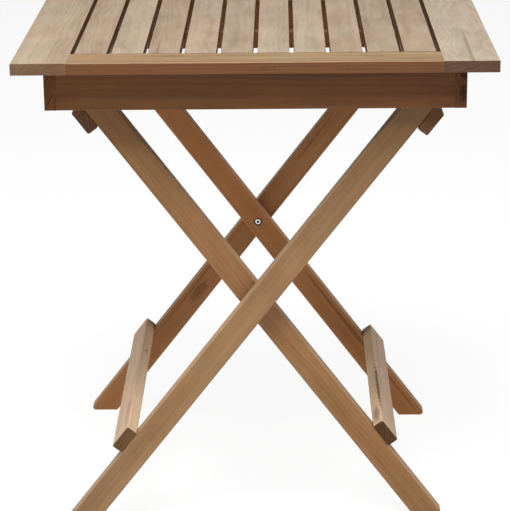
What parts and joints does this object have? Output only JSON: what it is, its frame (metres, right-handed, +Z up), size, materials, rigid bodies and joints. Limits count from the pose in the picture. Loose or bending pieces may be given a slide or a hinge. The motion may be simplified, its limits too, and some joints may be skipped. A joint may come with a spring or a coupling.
{
  "type": "folding slatted table",
  "caption": "Folding garden table with a slatted rectangular top on an apron box and two crossed leg frames joined by pivot bolts.",
  "frame": {"origin": "on the floor under the middle of the table top", "axes": "+X to the right, +Y to the back, +Z up; the front of the table is at -Y"},
  "size_m": [0.7, 0.6, 0.75],
  "materials": {
    "teak": "oiled and slightly weathered top boards",
    "apron_teak": "oiled, redder boards of the apron box",
    "leg_teak": "oiled straight-grained legs and bars",
    "dowel_wood": "plain turned hardwood",
    "steel": "stainless, satin",
    "brass": "machined",
    "nylon": "matte"
  },
  "bodies": {
    "outer_frame": {"outer_front_leg": "leg_teak", "outer_back_leg": "leg_teak", "outer_top_crossbar": "leg_teak", "outer_lower_stretcher": "leg_teak", "outer_dowels": "dowel_wood", "pivot_bolts": "steel", "pivot_inserts": "brass", "pivot_washers": "nylon"},
    "inner_frame": {"inner_front_leg": "leg_teak", "inner_back_leg": "leg_teak", "inner_top_crossbar": "leg_teak", "inner_lower_stretcher": "leg_teak", "inner_dowels": "dowel_wood"},
    "tabletop": {"left_side_board": "teak", "right_side_board": "teak", "front_rail": "teak", "back_rail": "teak", "slat_01": "teak", "slat_02": "teak", "slat_03": "teak", "slat_04": "teak", "slat_05": "teak", "slat_06": "teak", "slat_07": "teak", "slat_08": "teak", "slat_09": "teak", "slat_10": "teak", "centre_batten": "apron_teak", "front_apron": "apron_teak", "back_apron": "apron_teak", "left_apron": "apron_teak", "right_apron": "apron_teak", "apron_dowels": "dowel_wood", "apron_screws": "steel", "batten_screws": "steel", "hinge_bolts": "steel", "hinge_inserts": "brass", "hinge_washers": "nylon"}
  },
  "joints": [
    {"name": "leg_pivot", "type": "hinge", "parent": "outer_frame", "child": "inner_frame", "pos_m": [-0.0035, 0, 0.3595], "axis": [0, 1, 0], "range_deg": [0, 73]},
    {"name": "top_hinge", "type": "hinge", "parent": "outer_frame", "child": "tabletop", "pos_m": [0.2485, 0, 0.684], "axis": [0, 1, 0], "range_deg": [0, 36.5]}
  ],
  "couplings": [
    {"joint": "top_hinge", "follows": "leg_pivot", "ratio": 0.5}
  ]
}
